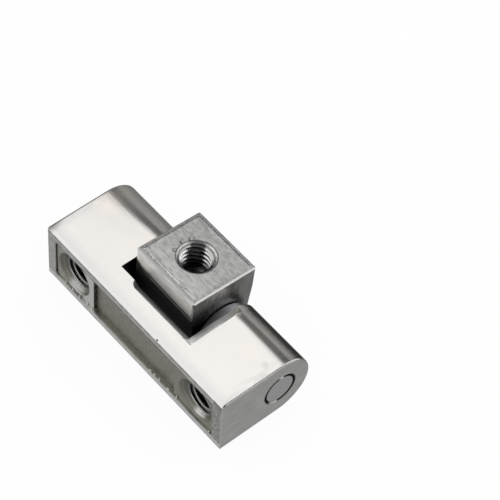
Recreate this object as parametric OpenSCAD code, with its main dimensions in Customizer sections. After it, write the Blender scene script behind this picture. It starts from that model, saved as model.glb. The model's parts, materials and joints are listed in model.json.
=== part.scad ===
// Cabinet hinge: a half-round cast body with a swinging leaf in its notch.
// The leaf turns on a pin that runs the length of the body.
// X runs along the pin, Y from the back face to the round nose, Z up.
// The origin is midway between the two tapped holes in the back face, where their threads begin.

/* [Body] */
// Length of the body along the pin
body_length = 43.6; // [41.6:0.2:60]
// Depth of the body from its back face to the tip of the round nose
body_depth = 18; // [17:0.5:24]
// Height of the body, which is also the diameter of the nose
body_height = 12; // [12:0.5:15]
// Rounding of the long edges of the back face
back_edge_round = 0.55; // [0.2:0.05:0.8]
// Rounding of the edges of the two end faces
end_edge_round = 0.3; // [0.1:0.05:0.6]

/* [Notch] */
// Metal left between the back face and the notch
notch_web = 4.5; // [3.5:0.1:5.3]
// Depth of the relief bevel along the notch's top edges
relief_depth = 0.55; // [0.25:0.05:1]
// Width of the relief bevel along the notch's back edge
relief_back_width = 1; // [0.5:0.1:1.5]
// Width of the relief bevel along the notch's right edge
relief_side_width = 1.35; // [0.5:0.05:2]
// Plain length of the notch's back edge before the relief bevel begins
relief_start = 4.8; // [2:0.1:7.5]

/* [Back face] */
// Width of the raised rim along the top and bottom of the back face
long_rim = 1.75; // [1:0.05:1.9]
// Width of the raised rim at the two ends of the back face
end_rim = 2.05; // [1:0.05:2.3]
// Depth of the pads round the tapped holes, below the rim
pad_depth = 0.3; // [0.1:0.1:0.6]
// Depth of the pocket between the pads, below the rim
pocket_depth = 0.9; // [0.7:0.1:1.5]
// Distance from a hole's axis to the inner edge of its pad
pad_reach = 5.1; // [4.5:0.1:6]
// Rounding of the corners of the recess
recess_corner = 0.65; // [0.2:0.05:1]

/* [Tapped holes] */
// Nominal thread diameter of the two holes in the back face
back_thread = 6; // [4:0.5:6]
// Distance from each end of the body to the nearer hole's axis
back_hole_inset = 6.55; // [6.35:0.1:8]
// Radial width of the countersink at the mouth of each hole in the back face
countersink = 1; // [0.4:0.1:1.1]
// Depth of that countersink below the pad
countersink_depth = 0.9; // [0.3:0.1:1.2]
// Nominal thread diameter of the hole in the leaf's top
leaf_thread = 6; // [4:0.5:8]
// Radial width and depth of the countersink at the mouth of the leaf's hole
leaf_countersink = 0.3; // [0.1:0.1:0.8]
// Metal left between a hole's drill point and the pin's bore
hole_floor = 0.6; // [0.3:0.1:1.5]
// Point angle of the drill that made the holes
drill_point = 118; // [90:1:140]

/* [Leaf] */
// Width of the leaf along the pin
leaf_width = 14; // [11:0.1:18]
// Height of the leaf's top above the body's top, standing upright
leaf_rise = 4.7; // [3.5:0.1:6.5]
// How far the leaf's head stands out beyond its round knuckle, front and back
head_overhang = 0.85; // [0.4:0.05:1]
// Height of the head's flat back face
head_back_height = 4.25; // [2:0.05:4.5]
// Height of the head's flat front face
head_front_height = 1.1; // [0.8:0.1:3]
// Gap between the round knuckle and the level of the body's underside
knuckle_lift = 0.45; // [0.2:0.05:1]
// Width of the slightly sloping margin round the leaf's top
top_margin = 0.65; // [0.3:0.05:1]
// Fall of that margin from its inner to its outer edge
top_fall = 0.15; // [0.1:0.05:0.25]
// Bevel on the outer edges of that margin
top_bevel = 0.25; // [0.1:0.05:0.4]
// Bevel on the leaf's upright corners
leaf_corner_bevel = 0.3; // [0.1:0.05:0.7]
// How far the leaf leans open towards the nose at rest, in degrees
leaf_lean = 4; // [0:0.5:10]

/* [Pin and washers] */
// Diameter of the hinge pin
pin_diameter = 6; // [4:0.5:6.5]
// Chamfer on the ends of the pin
pin_chamfer = 0.3; // [0.1:0.05:0.5]
// How far the pin's ends lie below the end faces of the body
pin_set_back = 0.05; // [0:0.05:0.2]
// Chamfer at the mouths of the pin's bore in the body
bore_chamfer = 0.15; // [0.05:0.05:0.3]
// Radial clearance of the leaf on the pin
leaf_clearance = 0.05; // [0.02:0.01:0.1]
// Radial clearance of the washers on the pin
washer_clearance = 0.1; // [0.05:0.01:0.2]
// Thickness of each thrust washer
washer_thickness = 1.2; // [0.8:0.05:2]
// How far the rims of the washers lie inside the round of the leaf's knuckle
washer_inset = 0.25; // [0.1:0.05:0.5]
// Rounding of the washers' outer edges
washer_edge_round = 0.15; // [0.05:0.05:0.3]
// Side clearance on each face of a thrust washer
side_gap = 0.15; // [0.1:0.05:0.3]

/* [Hidden] */
$fn = 96;

// How far a cutting shape runs past the face that it opens
past = 1;

nose_r = body_height / 2;
pin_y = body_depth - nose_r;
pin_r = pin_diameter / 2;

knuckle_r = nose_r - knuckle_lift;
head_half = knuckle_r + head_overhang;
leaf_top = nose_r + leaf_rise;
leaf_bore_r = pin_r + leaf_clearance;
// How far the head's sloping faces sink into the round of the knuckle where they meet it
slope_sink = 0.05;

washer_x = leaf_width / 2 + side_gap;
washer_r = knuckle_r - washer_inset;
notch_half = washer_x + washer_thickness + side_gap;
relief_left = relief_start - notch_half;
// Depth to which the relief's slopes are carried on, as a multiple of the bevel's own depth
relief_carry = 1.5;

hole_x = body_length / 2 - back_hole_inset;
thread_start = pad_depth + countersink_depth;
pad_inner = hole_x - pad_reach;
recess_height = body_height - 2 * long_rim;
back_hole_end = pin_y - pin_r - hole_floor - drill_point_height(back_thread / 2);
leaf_hole_end = leaf_bore_r + hole_floor + drill_point_height(leaf_thread / 2);

// Height of the cone that a drill of radius r leaves at the bottom of its hole
function drill_point_height(r) = r / tan(drill_point / 2);

// Point where the line from p touches the circle of radius r round the origin.
// turn is 1 for the touch point anticlockwise from p, and -1 for the other one.
function touch_point(p, r, turn) =
    let (a = atan2(p[1], p[0]) + turn * acos(r / norm(p)))
    [r * cos(a), r * sin(a)];

// Rectangle centred on the origin with its corners rounded
module rounded_rectangle(size, r) {
    square([size[0] - 2 * r, size[1]], center = true);
    square([size[0], size[1] - 2 * r], center = true);
    for (x = [-1, 1], y = [-1, 1])
        translate([x * (size[0] / 2 - r), y * (size[1] / 2 - r)])
            circle(r);
}

// Extrudes an outline drawn in X and Z along Y, from y = 0
module along_y(length) {
    translate([0, length, 0])
        rotate([90, 0, 0])
            linear_extrude(length)
                children();
}

// Extrudes an outline drawn in Y and Z along X, centred on x = 0
module along_x(length) {
    rotate([90, 0, 90])
        linear_extrude(length, center = true)
            children();
}

// Square-backed half of the body, from the back face to the pin's axis
module body_block() {
    intersection() {
        along_x(body_length)
            translate([pin_y, 0])
                rounded_rectangle([2 * pin_y, body_height], back_edge_round);
        along_y(pin_y)
            rounded_rectangle([body_length, body_height], end_edge_round);
        translate([0, pin_y, 0])
            linear_extrude(body_height, center = true)
                rounded_rectangle([body_length, 2 * pin_y], end_edge_round);
    }
}

// Round half of the body, turned about the pin's axis
module body_nose() {
    translate([0, pin_y, 0])
        rotate([0, 90, 0])
            rotate_extrude(angle = 180)
                intersection() {
                    rounded_rectangle([body_height, body_length], end_edge_round);
                    translate([0, -body_length / 2])
                        square([nose_r, body_length]);
                }
}

// Notch that takes the leaf and its washers, open above, below and at the nose
module notch() {
    translate([-notch_half, notch_web, -nose_r - past])
        cube([2 * notch_half, body_depth, body_height + 2 * past]);
}

// Sloping cut along the notch's back and right edges, run out as a cone on the left.
// Its slopes are carried on into the notch, so that they cross the notch's walls.
module notch_relief() {
    low = nose_r - relief_carry * relief_depth;
    high = nose_r + past;
    back = notch_web - relief_back_width;
    side = notch_half + relief_side_width;
    back_low = back + relief_carry * relief_back_width;
    side_low = side - relief_carry * relief_side_width;
    intersection() {
        along_x(body_length)
            polygon([[back_low, low], [back, nose_r], [back, high],
                     [body_depth + past, high], [body_depth + past, low]]);
        along_y(body_depth + past)
            polygon([[side_low, low], [side, nose_r], [side, high],
                     [relief_left, high], [relief_left, low]]);
    }
    translate([relief_left, back_low, low])
        cylinder(h = nose_r - low, r1 = 0, r2 = back_low - back);
}

// Shallow recess of the back face, with a deeper pocket between the two pads
module back_recess() {
    translate([0, -past, 0])
        along_y(past + pad_depth)
            rounded_rectangle([body_length - 2 * end_rim, recess_height], recess_corner);
    translate([0, -past, 0])
        along_y(past + pocket_depth)
            rounded_rectangle([2 * pad_inner, recess_height], recess_corner);
}

// Drilled hole that opens towards +Z at z = 0, with a conical bottom
module drilled_hole(r, depth) {
    tip = drill_point_height(r);
    translate([0, 0, -depth])
        cylinder(h = depth + past, r = r);
    translate([0, 0, -depth - tip])
        cylinder(h = tip, r1 = 0, r2 = r);
}

// Tapped hole in the back face, with its countersunk mouth in the pad
module back_hole() {
    r = back_thread / 2;
    rotate([90, 0, 0]) {
        drilled_hole(r, back_hole_end);
        translate([0, 0, -thread_start])
            cylinder(h = countersink_depth, r1 = r, r2 = r + countersink);
    }
}

// Bore for the pin through both ends of the body
module pin_bore() {
    translate([0, pin_y, 0])
        rotate([0, 90, 0]) {
            cylinder(h = body_length + 2 * past, r = pin_r, center = true);
            for (turn = [0, 180])
                rotate([0, turn, 0])
                    translate([0, 0, body_length / 2 - bore_chamfer])
                        cylinder(h = bore_chamfer, r1 = pin_r, r2 = pin_r + bore_chamfer);
        }
}

// Cast and polished body
module hinge_body() {
    color([0.86, 0.86, 0.85])
        difference() {
            union() {
                body_block();
                body_nose();
            }
            notch();
            notch_relief();
            back_recess();
            for (side = [-1, 1])
                translate([side * hole_x, 0, 0])
                    back_hole();
            pin_bore();
        }
}

// Steel pin, pressed into both ends of the body
module hinge_pin() {
    half = body_length / 2 - pin_set_back;
    color([0.66, 0.66, 0.66])
        translate([0, pin_y, 0])
            rotate([0, 90, 0])
                rotate_extrude()
                    polygon([[0, -half], [pin_r - pin_chamfer, -half], [pin_r, -half + pin_chamfer],
                             [pin_r, half - pin_chamfer], [pin_r - pin_chamfer, half], [0, half]]);
}

// Thrust washer on the pin, with its inner face at x = washer_x
module thrust_washer() {
    inner = pin_r + washer_clearance;
    color([0.42, 0.43, 0.46])
        translate([washer_x + washer_thickness / 2, pin_y, 0])
            rotate([0, 90, 0])
                rotate_extrude()
                    intersection() {
                        rounded_rectangle([2 * washer_r, washer_thickness], washer_edge_round);
                        translate([inner, -washer_thickness / 2])
                            square([washer_r - inner, washer_thickness]);
                    }
}

module thrust_washer_left() {
    mirror([1, 0, 0])
        thrust_washer();
}

module thrust_washer_right() {
    thrust_washer();
}

// Edge of the leaf's top at a given half width: the bevel and then the sloping margin
function top_edge(half) = [
    [half, leaf_top - top_fall - top_bevel],
    [half - top_bevel, leaf_top - top_fall],
    [half - top_bevel - top_margin, leaf_top]
];

// Points on the other side of the upright axis, in the opposite order
function mirrored(points) = [for (i = [len(points) - 1:-1:0]) [-points[i][0], points[i][1]]];

// Side outline of the leaf round the pin: a square head that runs into a round knuckle
module leaf_outline() {
    back = [-head_half, leaf_top - head_back_height];
    front = [head_half, leaf_top - head_front_height];
    aim_r = knuckle_r - slope_sink;
    edge = top_edge(head_half);
    circle(knuckle_r);
    polygon(concat([[0, 0], touch_point(front, aim_r, -1), front], edge, mirrored(edge),
                   [back, touch_point(back, aim_r, 1)]));
}

// Outline that shapes the leaf's top edges at its two sides, with its own sides clear of the leaf.
// The bevel and the margin run on past the leaf's faces, so that they cross them.
module side_edges(half) {
    edge = top_edge(half);
    run_out = [[half + past, -leaf_top], edge[0] + [past, -past], edge[1], 2 * edge[2] - edge[1]];
    polygon(concat(run_out, mirrored(run_out)));
}

// Rectangle of the given half sizes with its four corners cut off by a bevel.
// Its sides stand clear of the rectangle's own, so that only the bevels cut.
module corner_bevels(half, bevel) {
    far = half + [past, past];
    near = half - [bevel + past, bevel + past];
    polygon([[far[0], near[1]], [near[0], far[1]], [-near[0], far[1]], [-far[0], near[1]],
             [-far[0], -near[1]], [-near[0], -far[1]], [near[0], -far[1]], [far[0], -near[1]]]);
}

// Leaf that swings on the pin, with a countersunk tapped hole in its top
module leaf() {
    hole_r = leaf_thread / 2;
    hole_depth = leaf_top - leaf_hole_end;
    half_width = leaf_width / 2;
    color([0.70, 0.70, 0.69])
        translate([0, pin_y, 0])
            rotate([-leaf_lean, 0, 0])
                difference() {
                    intersection() {
                        along_x(leaf_width)
                            leaf_outline();
                        translate([0, -head_half - past, 0])
                            along_y(2 * (head_half + past))
                                side_edges(half_width);
                        linear_extrude(2 * (leaf_top + past), center = true)
                            corner_bevels([half_width, head_half], leaf_corner_bevel);
                    }
                    rotate([0, 90, 0])
                        cylinder(h = leaf_width + 2 * past, r = leaf_bore_r, center = true);
                    translate([0, 0, leaf_top])
                        drilled_hole(hole_r, hole_depth);
                    translate([0, 0, leaf_top - leaf_countersink])
                        cylinder(h = leaf_countersink, r1 = hole_r, r2 = hole_r + leaf_countersink);
                }
}

// Moves a piece drawn from the back face, so that the threads of the holes there begin at y = 0
module from_thread_start() {
    translate([0, -thread_start, 0])
        children();
}

from_thread_start() hinge_body();
from_thread_start() hinge_pin();
from_thread_start() thrust_washer_left();
from_thread_start() thrust_washer_right();
from_thread_start() leaf();
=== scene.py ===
"""Looks of a cabinet hinge: a polished half-round body, its pin and washers, and a brushed leaf."""

import json
import math

import bmesh
import bpy
from mathutils import Matrix, Vector


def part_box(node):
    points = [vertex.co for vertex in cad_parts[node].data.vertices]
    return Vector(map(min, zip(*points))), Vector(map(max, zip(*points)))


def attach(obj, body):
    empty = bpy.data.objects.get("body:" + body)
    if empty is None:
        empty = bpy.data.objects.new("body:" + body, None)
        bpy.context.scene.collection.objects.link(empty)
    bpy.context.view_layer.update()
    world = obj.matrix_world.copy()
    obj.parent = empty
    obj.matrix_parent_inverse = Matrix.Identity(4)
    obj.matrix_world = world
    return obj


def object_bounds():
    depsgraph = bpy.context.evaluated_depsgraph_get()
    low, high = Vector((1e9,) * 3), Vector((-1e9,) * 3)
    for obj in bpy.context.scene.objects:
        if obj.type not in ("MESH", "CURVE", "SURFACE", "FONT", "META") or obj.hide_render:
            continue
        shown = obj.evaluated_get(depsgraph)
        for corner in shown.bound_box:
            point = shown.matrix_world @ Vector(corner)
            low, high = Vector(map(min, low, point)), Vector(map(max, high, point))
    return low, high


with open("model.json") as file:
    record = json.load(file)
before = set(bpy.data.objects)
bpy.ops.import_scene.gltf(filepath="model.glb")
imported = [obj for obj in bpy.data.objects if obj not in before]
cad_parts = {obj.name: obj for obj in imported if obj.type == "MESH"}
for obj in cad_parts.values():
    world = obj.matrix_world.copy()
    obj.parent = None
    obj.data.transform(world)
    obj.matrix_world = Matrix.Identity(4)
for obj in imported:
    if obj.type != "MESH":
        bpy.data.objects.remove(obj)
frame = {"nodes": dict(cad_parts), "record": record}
cad_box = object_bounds()


# Hinge body
# A metal casting with a flat back and a half-round nose. Its top and nose are polished, its ends and
# the rim of its back are ground to a satin, and the recess in its back is left as cast.
class Wire:
    """A socket of a node tree. Sums written on it add the Math nodes that work them out."""

    def __init__(self, tree, socket=None):
        self.tree = tree
        self.socket = socket

    def node(self, kind, settings, sockets, output=0):
        """Adds a node, sets it, feeds its sockets with values or wires, and gives the wire of one output."""
        made = self.tree.nodes.new(kind)
        for name, value in settings.items():
            setattr(made, name, value)
        for key, value in sockets.items():
            if isinstance(value, Wire):
                self.tree.links.new(value.socket, made.inputs[key])
            else:
                made.inputs[key].default_value = value
        return Wire(self.tree, made.outputs[output])

    def math(self, operation, *values):
        return self.node("ShaderNodeMath", {"operation": operation}, dict(enumerate(values)))

    def __add__(self, other):
        return self.math("ADD", self, other)

    def __radd__(self, other):
        return self.math("ADD", other, self)

    def __sub__(self, other):
        return self.math("SUBTRACT", self, other)

    def __rsub__(self, other):
        return self.math("SUBTRACT", other, self)

    def __mul__(self, other):
        return self.math("MULTIPLY", self, other)

    def __rmul__(self, other):
        return self.math("MULTIPLY", other, self)

    def __abs__(self):
        return self.math("ABSOLUTE", self)

    def across(self, other):
        """Distance from an axis, from the distances along two directions square to it."""
        return self.math("SQRT", self * self + other * other)

    def held(self, low, high):
        """The same value, held between low and high."""
        return self.math("MINIMUM", self.math("MAXIMUM", self, low), high)

    def rise(self, low, high):
        """0 at low, 1 at high, and smooth between them. With low above high it falls."""
        settings = {"interpolation_type": "SMOOTHSTEP"}
        return self.node("ShaderNodeMapRange", settings, {"Value": self, "From Min": low, "From Max": high})

    def tint(self, off, on):
        """Colour off where the wire is 0 and colour on where it is 1."""
        off = off if isinstance(off, Wire) else (*off, 1)
        on = on if isinstance(on, Wire) else (*on, 1)
        return self.node("ShaderNodeMix", {"data_type": "RGBA"}, {6: off, 7: on, 0: self}, 2)

    def noise(self, stretch, detail=4.0):
        """Noise from 0 to 1 at this place in millimetres, with its scale along each axis."""
        scaled = self.node("ShaderNodeVectorMath", {"operation": "MULTIPLY"}, {0: self, 1: stretch})
        return self.node("ShaderNodeTexNoise", {}, {"Vector": scaled, "Scale": 1.0, "Detail": detail})


mm = 0.001


def new_metal(name):
    """A bare metal, with its shader, the place in millimetres, and that place along each axis."""
    material = bpy.data.materials.new(name)
    material.use_nodes = True
    tree = material.node_tree
    shader = tree.nodes["Principled BSDF"]
    shader.inputs["Metallic"].default_value = 1.0
    place = Wire(tree).node("ShaderNodeTexCoord", {}, {}, "Object")
    place = place.node("ShaderNodeVectorMath", {"operation": "SCALE"}, {0: place, "Scale": 1 / mm})
    axes = [place.node("ShaderNodeSeparateXYZ", {}, {0: place}, axis) for axis in "XYZ"]
    return material, shader, place, axes


def finish_metal(shader, colour, roughness, height):
    """Feeds a metal's colour and roughness, and its normal from a height in millimetres."""
    bump = height.node("ShaderNodeBump", {}, {"Height": height, "Distance": mm, "Strength": 1.0})
    for wire, socket in ((colour, "Base Color"), (roughness, "Roughness"), (bump, "Normal")):
        wire.tree.links.new(wire.socket, shader.inputs[socket])


def wiped_patch(y, z):
    """Where the paste in the groove round the pin's end has been wiped away."""
    return (y - pin_y + 1.2).across(z + 2.7).rise(1.1, 0.7)


mounts = {mount["name"]: mount for mount in frame["record"]["mounts"]}
body_low, body_high = [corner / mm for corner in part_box("hinge_body")]
hole_x = mounts["back_hole_right"]["pos_m"][0] / mm
hole_r = mounts["back_hole_right"]["dims"]["r_mm"]
cone_r = 4.05
pad_inner = 10.15
relief_start = 3.5
relief_width = 1.35
notch_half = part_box("thrust_washer_right")[1].x / mm + 0.15
pin_y = frame["record"]["behaviour"]["joints"][0]["pos_m"][1] / mm
pin_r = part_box("hinge_pin")[1].z / mm

material, shader, place, (x, y, z) = new_metal("polished_casting")
inward = y - body_low.y
below_top = body_high.z - z
from_end = body_high.x - abs(x)
from_hole = (abs(x) - hole_x).across(z)

# Where each finish lies, as masks from 0 to 1
ends = from_end.rise(0.2, 0.12)
end_edge = from_end.rise(0.5, 0.25)
rim = inward.rise(0.12, 0.04)
recess = abs(z).rise(4.4, 4.2) * from_end.rise(1.95, 2.1) * inward.rise(0.05, 0.2) * inward.rise(1.4, 1.3)
mouth = from_hole.rise(cone_r, cone_r - 0.05) * inward.rise(0.3, 0.33) * inward.rise(1.4, 1.3)
bore = from_hole.rise(hole_r + 0.1, hole_r + 0.05) * inward.rise(1.2, 1.3) * inward.rise(12, 11)
notch = abs(x).rise(notch_half + 0.04, notch_half + 0.02) * inward.rise(4.44, 4.48) * below_top.rise(0.5, 0.6)
relief = below_top.rise(0.03, 0.12) * below_top.rise(0.7, 0.6) * abs(x - 1.5).rise(8.6, 8.2)
relief = relief * inward.rise(relief_start - 0.1, relief_start) * inward.rise(13.5, 11.0)

# The polished rounding of the relief's upper edge, behind the notch and to its right
relief_back = (inward - relief_start).held(0, 1)
relief_side = (notch_half + relief_width - x).held(0, relief_width)
back_fade = x.rise(-5.5, -3.0) * x.rise(notch_half + relief_width, notch_half)
side_fade = inward.rise(3.2, 4.2) * inward.rise(11.8, 9.5)
back_round = (relief_back - relief_back * relief_back * 0.5) * 0.25 * back_fade
side_round = (relief_side - relief_side * relief_side * 0.37) * 0.407 * side_fade * x.rise(8.0, 8.5)
rounding = back_round.math("MAXIMUM", back_round, side_round) * z.rise(0, 1)

# The unevenness of the finishes
clouds = place.noise((0.14, 0.14, 0.14), 2.0)
waves = place.noise((0.10, 0.16, 0.16), 1.0)
wipes = place.noise((0.35, 4.0, 4.0))
grain = place.noise((7.0, 7.0, 7.0))
scuffs = place.noise((1.2, 3.0, 3.0), 6.0)
strokes = place.noise((1.0, 0.35, 2.2), 6.0)
pits = place.noise((2.2, 2.2, 2.2), 6.0)

# The polished top and nose, with smudges and painted shade on the rounded left corner, and the ground ends
polish = clouds.tint((0.90, 0.88, 0.845), (0.95, 0.93, 0.895))
warm = inward.rise(6.0, 11.0) * clouds.rise(0.35, 0.6)
polish = warm.tint(polish, (0.95, 0.895, 0.835))
polish = (inward.rise(2.6, 0.3) * 0.8).tint(polish, (0.80, 0.79, 0.775))
polish = (scuffs.rise(0.66, 0.78) * 0.3).tint(polish, (0.62, 0.61, 0.60))
polish = (from_end.rise(2.2, 0.6) * strokes.rise(0.35, 0.65) * 0.7).tint(polish, (0.74, 0.73, 0.71))
smudge = (x - 19.8).across(inward - 10.2).rise(0.9, 0.2) * grain.rise(0.3, 0.6) * below_top.rise(1.0, 0.5)
polish = (smudge * 0.5).tint(polish, (0.58, 0.575, 0.56))
# Painted shade at the left end's back corner and along the left end's rounded edge
painted_corner_shade = (from_end.across(inward * 0.4).rise(1.6, 0.2) * 0.9 + end_edge * 0.4) * x.rise(0, -1)
polish = painted_corner_shade.tint(polish, (0.24, 0.235, 0.225))
satin = strokes.rise(0.3, 0.7).tint((0.51, 0.505, 0.495), (0.61, 0.605, 0.595))
colour = ends.tint(polish, satin)

# The rim of the back, ground, with a painted highlight along its upper part, and rougher at the right end
scuffed = scuffs.rise(0.3, 0.7)
ground_rim = scuffed.tint((0.47, 0.465, 0.44), (0.68, 0.675, 0.65))
# Painted highlight: a lighter colour for the upper part of the rim
lit_upper_rim = scuffed.tint((0.60, 0.595, 0.57), (0.82, 0.815, 0.79))
right_rim = pits.rise(0.35, 0.65).tint((0.32, 0.32, 0.31), (0.56, 0.555, 0.54))
ground_rim = z.rise(4.4, 5.0).tint(ground_rim, lit_upper_rim)
ground_rim = x.rise(19.6, 19.9).tint(ground_rim, right_rim)
colour = rim.tint(colour, ground_rim)
# Painted highlight along the lower rim and on the edges where the ends meet the back, broken by scuffs
rim_highlight = rim * z.rise(-4.3, -4.6) * (1 - z.rise(-4.9, -5.2) * 0.35)
rim_highlight = rim_highlight + from_end.rise(0.24, 0.12) * inward.rise(0.24, 0.12) * 0.45
colour = (rim_highlight * (0.4 + scuffs.rise(0.3, 0.5) * 0.6)).tint(colour, (0.88, 0.875, 0.86))

# The recess as cast, with its pads and countersinks, a painted highlight on the lower part of each
# countersink, and dirt and painted shade along its walls
cast = (pits * 0.6 + grain * 0.4).rise(0.3, 0.7).tint((0.285, 0.28, 0.24), (0.45, 0.445, 0.387))
colour = recess.tint(colour, cast)
# Painted highlight on the lower, upward-facing part of each countersink, over its turned rings
past_hole = (x.rise(-0.01, 0.01) * 2 - 1) * (abs(x) - hole_x)
left_sweep = abs(past_hole - 0.6).rise(2.6, 1.2) * x.rise(1, -1)
right_sweep = abs(past_hole - 0.9).rise(1.9, 0.6) * x.rise(-1, 1) * from_hole.rise(3.75, 3.5)
countersink_highlight = z.rise(-2.2, -3.2) * (left_sweep + right_sweep) * scuffs.rise(0.25, 0.45)
turned = place.node("ShaderNodeCombineXYZ", {}, {0: from_hole * 5, 1: x * 0.2}).noise((1.0, 1.0, 1.0), 2.0)
dull_cone = turned.rise(0.25, 0.75).tint((0.17, 0.165, 0.14), (0.34, 0.335, 0.295))
lit_cone_colour = x.rise(-1, 1).tint((0.56, 0.555, 0.54), (0.74, 0.735, 0.71))
cone = (countersink_highlight * turned.rise(0.2, 0.55)).tint(dull_cone, lit_cone_colour)
colour = mouth.tint(colour, cone)
left_pad = recess * x.rise(0.15 - pad_inner, -0.15 - pad_inner) * inward.rise(0.5, 0.35)
left_pad = left_pad * (0.3 + x.rise(-13.5, -12.0) * 0.7)
colour = (left_pad * (1 - mouth)).tint(colour, pits.tint((0.66, 0.655, 0.63), (0.92, 0.915, 0.89)))
# Dirt and painted shade at the foot of the pads' walls, along the recess's end walls and along its lower wall
grime_and_shade_colour = (0.05, 0.05, 0.045)
broken = 0.3 + pits.rise(0.42, 0.52) * 0.7
pad_wall = abs(abs(x) - pad_inner + (pits - 0.5) * 0.5).rise(0.19, 0.08) * inward.rise(0.3, 0.36)
grime_and_shade = recess * (pad_wall * broken + from_end.rise(2.35, 2.1) + z.rise(-3.95, -4.2) * 0.25)
colour = grime_and_shade.tint(colour, grime_and_shade_colour)
edge_line = rim * abs(z - 5.35).rise(0.2, 0.08) * scuffs.rise(0.42, 0.52)
edge_line = edge_line + rim * abs(z - 4.35).rise(0.16, 0.08) * scuffs.rise(0.4, 0.5) * from_end.rise(1.8, 2.2)
colour = (edge_line * 0.8).tint(colour, grime_and_shade_colour)

# The paste in the groove round the pin, painted shade in the back holes and the notch, the relief, and two
# nicks
pin_groove = (y - pin_y).across(z).rise(pin_r + 0.22, pin_r + 0.16) * from_end.rise(0.4, 0.3)
pin_groove = pin_groove * (1 - wiped_patch(y, z))
colour = (pin_groove * clouds.rise(0.3, 0.4)).tint(colour, (0.04, 0.04, 0.036))
# Painted shade: the bores of the back holes are coloured near black
colour = bore.tint(colour, (0.06, 0.06, 0.055))
colour = relief.tint(colour, x.rise(8.2, 8.6).tint((0.52, 0.515, 0.50), (0.97, 0.97, 0.965)))
# Painted shade: the notch's walls are coloured near black
colour = notch.tint(colour, pits.rise(0.3, 0.7).tint((0.02, 0.02, 0.02), (0.07, 0.07, 0.068)))
nick = (x - 5.9).across(inward).across(below_top).rise(0.38, 0.22)
nick = nick + from_end.across((inward - 0.5) * 0.3).across(below_top).rise(0.22, 0.12) * x.rise(0, 1)
colour = nick.tint(colour, (0.03, 0.03, 0.03))

roughness = 0.14 + wipes * 0.1 + ends * 0.15 + end_edge * 0.1 + rim * 0.12 + recess * 0.25 + relief * 0.25
roughness = roughness + notch * 0.3 + inward.rise(10.0, 12.5) * x.rise(-12, -21) * 0.08
height = waves * 0.05 + wipes * 0.001 + ends * strokes * 0.003
height = height + rim * scuffs * 0.012 + recess * (pits * 0.04 + grain * 0.006)
shoulder = inward.rise(10.9, 14.0) * 2.1
height = height + rounding - shoulder * (x.rise(-10, -20) * 0.075 + x.rise(11, 21) * 0.03 - 0.01)
finish_metal(shader, colour, roughness, height)
frame["nodes"]["hinge_body"].material_slots[0].material = material


# Casting flash
# Thin slivers of metal left standing on the inner edge of the back's lower rim, where the die closed.
# They are part of the casting and were never trimmed off.
# Each sliver has its place along the body, half its width, its height and its tip's lean.
slivers = ((-17.2, 0.14, 1.0, 0.4), (-15.4, 0.3, 0.3, -0.5), (-13.6, 0.13, 1.0, 0.9),
           (-11.6, 0.16, 0.8, -0.4), (-10.5, 0.2, 0.5, 0.3), (4.4, 0.35, 0.3, 0.6),
           (5.6, 0.25, 0.4, -0.6), (6.8, 0.14, 1.0, 0.5), (8.9, 0.4, 0.25, 0.2),
           (11.1, 0.13, 1.1, -0.7), (19.0, 0.2, 0.5, 0.4))
foot_z = -4.3
mesh = bmesh.new()
for along, width, tall, lean in slivers:
    foot = [mesh.verts.new((along + dx * width, body_low.y + dy, foot_z))
            for dx, dy in ((-1, 0.02), (1, 0.02), (1, 0.26), (-1, 0.26))]
    tip = mesh.verts.new((along + lean * width, body_low.y + 0.2, foot_z + tall))
    mesh.faces.new(foot)
    for near, far in zip(foot, foot[1:] + foot[:1]):
        mesh.faces.new((near, far, tip))
bmesh.ops.recalc_face_normals(mesh, faces=mesh.faces)
mesh.transform(Matrix.Scale(mm, 4))
flash = bpy.data.objects.new("casting_flash", bpy.data.meshes.new("casting_flash"))
mesh.to_mesh(flash.data)
mesh.free()
bpy.context.scene.collection.objects.link(flash)
material, shader, place, _ = new_metal("bright_flash")
grain = place.noise((4.0, 4.0, 4.0))
finish_metal(shader, grain.tint((0.82, 0.815, 0.80), (0.98, 0.975, 0.96)), 0.5 + grain * 0.2, grain * 0.01)
flash.data.materials.append(material)
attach(flash, "housing")


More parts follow.
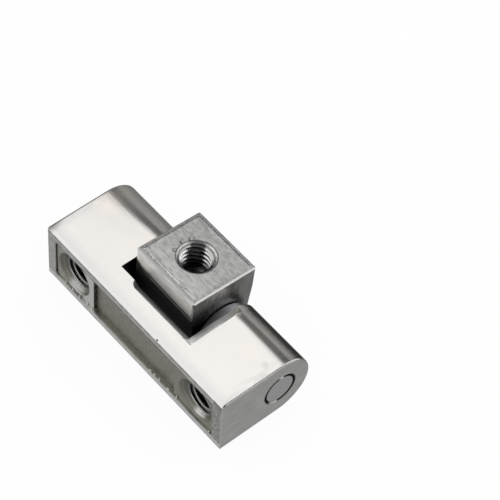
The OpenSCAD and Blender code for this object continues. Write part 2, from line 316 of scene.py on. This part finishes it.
# Threads of the two back holes
# Metric threads cut by a tap straight into the casting, one in each countersunk hole. Each is one
# helical ridge that stands in from the wall of the bore, and the countersink cuts its first turn.
def thread_ridge(name, mount, cone, material):
    """The ridge of a right-handed M6 thread in a tapped hole of the record, as one closed mesh.

    The cone of the countersink, with its run inward per depth, cuts off the ridge at the hole's mouth.
    """
    pitch = 1.0 * mm
    crest = 2.46 * mm
    foot = mount["dims"]["r_mm"] * mm + 0.02 * mm
    depth = mount["dims"]["length_mm"] * mm
    half_crest = pitch / 8
    half_foot = pitch * 7 / 16
    flank = (foot - crest) / (half_foot - half_crest)
    least = 0.01 * mm
    per_turn = 60
    axis = Vector(mount["axis"])
    start = Vector(mount["pos_m"]) + axis * depth / 2
    steps = int(per_turn * depth / pitch)
    mesh = bmesh.new()
    rings = []
    for step in range(steps + 1):
        turns = step / per_turn
        angle = -2 * math.pi * turns
        middle = half_foot - 2 * least - pitch * turns
        top = crest
        high = min(middle + half_crest, (crest - foot) / cone)
        low = middle - half_crest
        if high < low + least:
            low = (crest - foot + flank * low) / (cone + flank)
            top = foot + cone * low
            high = low + least
        profile = [(foot, min(middle + half_foot, 0)), (top, high), (top, low), (foot, middle - half_foot)]
        rings.append([mesh.verts.new((r * math.cos(angle), r * math.sin(angle), h)) for r, h in profile])
    for near, far in zip(rings, rings[1:]):
        for i in range(4):
            mesh.faces.new((near[i], near[i - 1], far[i - 1], far[i])).smooth = True
            mesh.edges.get((near[i], far[i])).smooth = False
    mesh.faces.new(rings[0])
    mesh.faces.new(rings[-1][::-1])
    bmesh.ops.recalc_face_normals(mesh, faces=mesh.faces)
    turn = Vector((0, 0, 1)).rotation_difference(axis).to_matrix().to_4x4()
    mesh.transform(Matrix.Translation(start) @ turn)
    ridge = bpy.data.objects.new(name, bpy.data.meshes.new(name))
    mesh.to_mesh(ridge.data)
    mesh.free()
    ridge.data.materials.append(material)
    bpy.context.scene.collection.objects.link(ridge)
    return ridge


material, shader, place, (x, y, z) = new_metal("tapped_casting")
grain = place.noise((5.0, 5.0, 5.0))
from_axis = (abs(x) - hole_x).across(z)
# Painted highlight on the thread's crests, stronger on the lower, upward-facing turns, and painted shade in
# its grooves
crest = from_axis.rise(hole_r - 0.28, hole_r - 0.44) + abs(from_axis - hole_r + 0.14).rise(0.07, 0.03) * 0.7
crest = crest * (0.3 + z.rise(-0.3, -2.0) * 0.7)
colour = crest.tint((0.20, 0.20, 0.19), grain.tint((0.55, 0.545, 0.53), (0.70, 0.695, 0.68)))
finish_metal(shader, colour, 0.2 + grain * 0.15, grain * 0.01)
countersink_run = 1 / 0.9
for side in ("left", "right"):
    ridge = thread_ridge("back_thread_" + side, mounts["back_hole_" + side], countersink_run, material)
    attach(ridge, "housing")

# Hinge pin
# A plain steel pin, pressed through both ends of the body. Only its two ground end faces show, and
# the narrow groove round each of them holds dark polishing paste.
material, shader, place, (_, y, z) = new_metal("ground_pin")
grain = place.noise((3.0, 8.0, 8.0))
patches = place.noise((0.6, 0.6, 0.6), 2.0)
from_axis = (y - pin_y).across(z)
paste = from_axis.rise(pin_r - 0.42, pin_r - 0.3) * patches.rise(0.72, 0.62) * (1 - wiped_patch(y, z))
colour = paste.tint(grain.tint((0.46, 0.455, 0.45), (0.58, 0.575, 0.57)), (0.02, 0.02, 0.018))
finish_metal(shader, colour, 0.26 + grain * 0.1 + paste * 0.3, grain * 0.003)
frame["nodes"]["hinge_pin"].material_slots[0].material = material

# Thrust washers
# Two stamped steel washers on the pin, one on each side of the leaf. They keep it clear of the notch's
# walls, and their steel is left plain and a little blue.
material, shader, place, _ = new_metal("washer_steel")
grain = place.noise((1.0, 6.0, 6.0))
colour = grain.tint((0.45, 0.46, 0.49), (0.60, 0.61, 0.645))
finish_metal(shader, colour, 0.28 + grain * 0.12, grain * 0.003)
for side in ("left", "right"):
    frame["nodes"]["thrust_washer_" + side].material_slots[0].material = material

# Leaf
# A cast block with a round knuckle on the pin. Its top is brushed along the pin and its sides up and
# down, with painted shade and a painted highlight on the sides. Its back is ground as far down as the
# wheel reached above the body, and below that it is painted dark for the shade in the notch.
lean_y, lean_z = mounts["leaf_hole"]["axis"][1:]
leaf_top = Vector(mounts["leaf_face"]["pos_m"]).yz - Vector((pin_y * mm, 0))
leaf_top = leaf_top.length / mm
leaf_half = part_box("leaf")[1].x / mm
head_half = 6.4


def leaf_axes(axes):
    """The place in the leaf's own upright axes round the pin, from the axes of the whole hinge."""
    x, y, z = axes
    y = y - pin_y
    return x, y * lean_z - z * lean_y, y * lean_y + z * lean_z


material, shader, place, axes = new_metal("brushed_leaf")
x, forward, up = leaf_axes(axes)
down = leaf_top - up
backward = 0 - forward
leftward = 0 - x
from_bore = x.across(forward)
sides = abs(x).rise(leaf_half - 0.1, leaf_half - 0.04)
back = backward.rise(head_half - 0.12, head_half - 0.05)
upper = down.rise(0.5, 0.45)

fine = place.noise((0.5, 9.0, 9.0))
streaks = place.noise((0.7, 2.6, 2.6))
blotches = place.noise((0.9, 1.3, 1.3), 5.0)
uprights = place.noise((4.0, 4.0, 0.25))
specks = place.noise((3.5, 5.0, 5.0), 6.0)

brush = (fine * 0.3 + streaks * 0.7) * (1 - sides) + uprights * sides
colour = (brush * 0.5 + blotches * 0.5).rise(0.35, 0.65).tint((0.53, 0.53, 0.52), (0.82, 0.82, 0.81))
colour = (backward.rise(1.5, 4.5) * 0.3).tint(colour, (0.95, 0.95, 0.94))
colour = (specks.rise(0.58, 0.68) * 0.6).tint(colour, (0.28, 0.28, 0.275))
scratches = place.noise((0.4, 7.0, 7.0), 3.0)
worn = backward.rise(4.2, 5.2)
scratched = (scratches + worn * 0.05).rise(0.58, 0.65) * (0.35 + worn * 0.5) * (1 - sides)
colour = scratched.tint(colour, (0.20, 0.20, 0.195))
# Painted shade makes the sides darker than the top and darkest towards the back, and a painted highlight
# lightens them towards the front
shaded_side = (uprights * 0.6 + blotches * 0.4).rise(0.35, 0.65).tint((0.16, 0.16, 0.155), (0.40, 0.40, 0.39))
shaded_side = (forward.rise(-1.5, -5.0) * 0.6).tint(shaded_side, (0.12, 0.12, 0.12))
lit_side = uprights.tint((0.58, 0.58, 0.57), (0.94, 0.94, 0.93))
shaded_side = (forward.rise(1.5, 5.5) * 0.8).tint(shaded_side, lit_side)
colour = sides.tint(colour, shaded_side)

# The margin round the top, with a dark broken line along it, a painted highlight on the right bevel, and
# burrs by the hole
edge_in = x.math("MINIMUM", leaf_half - abs(x), head_half - abs(forward))
margin = upper * edge_in.rise(0.72, 0.6)
margin_line = abs(edge_in - 0.75 + (blotches - 0.5) * 0.6).rise(0.16, 0.06) * upper
margin_line = margin_line * specks.rise(0.48, 0.56) * blotches.rise(0.42, 0.52) * x.rise(6.2, 5.9)
dull_margin = edge_in.rise(0.85, 0.6) * upper * backward.rise(5.3, 5.6)
colour = (dull_margin * 0.7).tint(colour, (0.52, 0.52, 0.51))
colour = (margin_line * 0.85).tint(colour, (0.10, 0.10, 0.10))
# Painted highlight on the bevel along the right edge of the top
bevel_highlight = edge_in.rise(0.34, 0.26) * x.rise(6.5, 6.6) * upper * (0.4 + specks.rise(0.4, 0.5) * 0.6)
colour = bevel_highlight.tint(colour, (0.76, 0.76, 0.75))
angle = forward.math("ARCTAN2", forward, x)
around = place.node("ShaderNodeCombineXYZ", {}, {0: angle * 7, 1: from_bore * 0.6})
ticks = around.noise((1.0, 1.0, 1.0), 2.0).rise(0.56, 0.62)
burr = from_bore.rise(3.3, 3.4) * from_bore.rise(4.2, 3.7) * ticks * upper * leftward.rise(2.0, 3.0)
colour = burr.tint(colour, (0.10, 0.10, 0.10))

# The back, ground to the wheel's reach, with a step line and a lip, and painted shade below them
reach = down - 3.4 - x * 0.05 + leftward.rise(4.8, 7.2) * 0.8
ground = reach.rise(0.05, -0.05)
step_line = back * reach.rise(0.0, 0.1) * reach.rise(0.35, 0.25)
past_lip = reach - 0.35 - x.rise(-6.5, -2.0) * 0.55
lip = back * reach.rise(0.25, 0.4) * past_lip.rise(0.1, -0.05)
notch_shade = backward.rise(3.0, 4.0) * past_lip.rise(-0.05, 0.1)
colour = (back * ground).tint(colour, streaks.tint((0.72, 0.715, 0.70), (0.88, 0.875, 0.855)))
colour = (back * ground * scratches.rise(0.54, 0.62) * 0.45).tint(colour, (0.30, 0.30, 0.29))
colour = step_line.tint(colour, (0.16, 0.16, 0.155))
colour = lip.tint(colour, (0.42, 0.42, 0.41))
# Painted shade: below the lip the back is coloured near black and mottled, for the shade in the notch
mottle = (specks * 0.5 + blotches * 0.5).rise(0.3, 0.7)
colour = notch_shade.tint(colour, mottle.tint((0.015, 0.015, 0.015), (0.075, 0.075, 0.072)))

# The dark ring round the hole, and its drilled wall, painted dark for the shade in the hole
ring = abs(from_bore - 3.36).rise(0.14, 0.05) * down.rise(0.3, 0.2)
colour = (ring * 0.75).tint(colour, (0.08, 0.08, 0.08))
hole = from_bore.rise(3.1, 3.05) * down.rise(0.3, 0.4) * down.rise(8.0, 7.6)
drilled = place.node("ShaderNodeCombineXYZ", {}, {0: from_bore * 4}).noise((1.0, 1.0, 1.0), 2.0)
# Painted shade: the drilled wall is coloured dark
colour = hole.tint(colour, drilled.rise(0.4, 0.65).tint((0.03, 0.03, 0.03), (0.20, 0.20, 0.195)))

roughness = 0.22 + brush * 0.12 + blotches * 0.12 + notch_shade * 0.3 + (margin - bevel_highlight) * 0.2
height = brush * 0.012 * (1 - back) + specks * 0.006 + blotches * 0.02 * upper
finish_metal(shader, colour, roughness, height)
frame["nodes"]["leaf"].material_slots[0].material = material

# Thread of the leaf's hole
# The same thread, tapped into the leaf's top for the screw that holds the door. Its crests carry a
# painted highlight, brighter on the left, and its grooves and the deep part of the hole painted shade.
material, shader, place, axes = new_metal("tapped_leaf")
x, forward, up = leaf_axes(axes)
grain = place.noise((5.0, 5.0, 5.0))
# Painted shade, darker deeper in the hole and in the grooves, and a painted highlight on the crests, brighter
# on the left
deep = (leaf_top - up).rise(2.5, 5.0)
crest = x.across(forward).rise(3.0, 2.5)
bright = x.rise(0.5, -1.5).tint((0.68, 0.68, 0.67), (0.95, 0.95, 0.94))
colour = (crest * (0.8 + grain * 0.3)).tint((0.15, 0.15, 0.145), bright)
colour = deep.tint(colour, (0.10, 0.10, 0.10))
finish_metal(shader, colour, 0.12 + grain * 0.08, grain * 0.006)
ridge = thread_ridge("leaf_thread", mounts["leaf_hole"], 1, material)
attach(ridge, "leaf")


# Studio
# A white floor and a white surround. Grey and dark cloths stand round the hinge for its polished faces
# to reflect, and only reflections show them.
def stage_object(name, points, faces, material):
    made = bpy.data.objects.new(name, bpy.data.meshes.new(name))
    made.data.from_pydata(points, [], faces)
    made.data.materials.append(material)
    bpy.context.scene.collection.objects.link(made)
    return made


def bare_tree(name):
    """A new material, its tree without a shader, and the socket that takes one."""
    material = bpy.data.materials.new(name)
    material.use_nodes = True
    tree = material.node_tree
    tree.nodes.remove(tree.nodes["Principled BSDF"])
    return material, tree, tree.nodes["Material Output"].inputs["Surface"]


def sheet(name, low, high, z, material, slant=0.0):
    """A level sheet between two corners in millimetres. With a slant, it leans to the left further out."""
    corners = [(low[0], low[1]), (high[0], low[1]), (high[0], high[1]), (low[0], high[1])]
    points = [((x - slant * y) * mm, y * mm, z * mm) for x, y in corners]
    return stage_object(name, points, [(0, 1, 2, 3)], material)


material, tree, surface = bare_tree("white_floor")
rays = [Wire(tree).node("ShaderNodeLightPath", {}, {}, "Is %s Ray" % kind)
        for kind in ("Camera", "Glossy", "Transmission")]
seen = (rays[0] + rays[1] + rays[2]) * 0.92
paper = seen.node("ShaderNodeBsdfDiffuse", {}, {"Color": (0.95, 0.95, 0.95, 1)})
glow = seen.node("ShaderNodeEmission", {}, {"Color": (1, 1, 1, 1), "Strength": 1.0})
tree.links.new(seen.node("ShaderNodeMixShader", {}, {0: seen, 1: paper, 2: glow}).socket, surface)
floor_z = cad_box[0].z / mm
sheet("floor", (-3000, -3000), (3000, 3000), floor_z, material)


def cloth_material(name, shade):
    material, tree, surface = bare_tree(name)
    glow = Wire(tree).node("ShaderNodeEmission", {}, {"Color": (shade, shade, shade, 1), "Strength": 1.0})
    tree.links.new(glow.socket, surface)
    return material


def only_reflected(made):
    made.visible_camera = False
    made.visible_diffuse = False
    made.visible_shadow = False
    made.visible_transmission = False


def curtain(name, shade, bearings, elevations):
    """A band of cloth round the hinge, between two bearings and two elevations in degrees."""
    distance = 550 * mm
    parts = 40
    points = []
    for i in range(parts + 1):
        bearing = math.radians(bearings[0] + (bearings[1] - bearings[0]) * i / parts)
        for elevation in elevations:
            level = math.cos(math.radians(elevation))
            direction = Vector((level * math.cos(bearing), level * math.sin(bearing),
                                math.sin(math.radians(elevation))))
            points.append(direction * distance)
    faces = [(2 * i, 2 * i + 2, 2 * i + 3, 2 * i + 1) for i in range(parts)]
    only_reflected(stage_object(name, points, faces, cloth_material(name, shade)))


front = (95, 190)
right_front = (95, 115)
left_front = (115, 190)
curtain("curtain_fringe", 0.55, front, (45.5, 47.5))
curtain("curtain_hem", 0.26, front, (43, 45.5))
curtain("high_curtain", 0.10, front, (24, 43))
curtain("low_curtain", 0.30, front, (9, 24))
curtain("left_skirting", 0.26, left_front, (-1, 9))
curtain("right_skirting", 0.16, right_front, (-1, 9))
for row in range(4):
    curtain("ceiling_flag_%d" % row, 0.02, (-100, 90), (48 + 10 * row, 58 + 10 * row))
curtain("camera_flag", 0.1, (-90, 5), (22, 48))
lying = floor_z + 0.1
only_reflected(sheet("grey_mat", (-90, -90), (90, 17), lying, cloth_material("grey_mat", 0.45)))
only_reflected(sheet("side_mat", (16, 17), (90, 90), lying, cloth_material("side_mat", 0.45)))
# Each row of the rugs has its near and far edges, the border between the left and the right rug, the
# right rug's end, and the shades of the two.
rug_slant = 0.48
rug_rows = ((17, 22, 8, 28, 0.25, 0.20), (22, 26, 8, 28, 0.17, 0.06), (26, 32, 6, 32, 0.18, 0.04),
            (32, 48, 4, 60, 0.18, 0.025), (48, 65, 0, 80, 0.19, 0.035), (65, 100, -4, 110, 0.21, 0.05),
            (100, 400, -8, 250, 0.25, 0.08))
for row, (near, far, border, end, left_shade, right_shade) in enumerate(rug_rows):
    for side, low, high, shade in (("left", -400, border, left_shade), ("right", border, end, right_shade)):
        name = "%s_rug_%d" % (side, row)
        rug = sheet(name, (low, near), (high, far), lying + 0.1, cloth_material(name, shade), rug_slant)
        only_reflected(rug)

world = bpy.data.worlds.new("white_surround")
world.use_nodes = True
world.node_tree.nodes["Background"].inputs["Color"].default_value = (1, 1, 1, 1)
world.node_tree.nodes["Background"].inputs["Strength"].default_value = 1.0
bpy.context.scene.world = world

# Camera
# It stands above and to the right of the back face, a long way off behind a long lens. Its distance and
# offsets are in millimetres from the middle of the body's upper back edge.
azimuth = math.radians(46.04)
elevation = math.radians(53.53)
roll = math.radians(4.73)
distance = 375.25
across = 18.25
above = 10.18
away = Vector((math.sin(azimuth) * math.cos(elevation), -math.cos(azimuth) * math.cos(elevation),
               math.sin(elevation)))
level = Vector((math.cos(azimuth), math.sin(azimuth), 0))
upright = away.cross(level)
right = math.cos(roll) * level + math.sin(roll) * upright
top = math.cos(roll) * upright - math.sin(roll) * level
stand = Vector((0, body_low.y, body_high.z)) + away * distance + right * across + top * above
camera = bpy.data.objects.new("camera", bpy.data.cameras.new("camera"))
camera.data.sensor_width = 36.0
camera.data.lens = 174.0
camera.data.clip_start = 0.01
camera.data.clip_end = 20.0
camera.matrix_world = Matrix.Translation(stand * mm) @ Matrix((right, top, away)).transposed().to_4x4()
bpy.context.scene.collection.objects.link(camera)
bpy.context.scene.camera = camera
bpy.context.scene.view_settings.view_transform = "Standard"
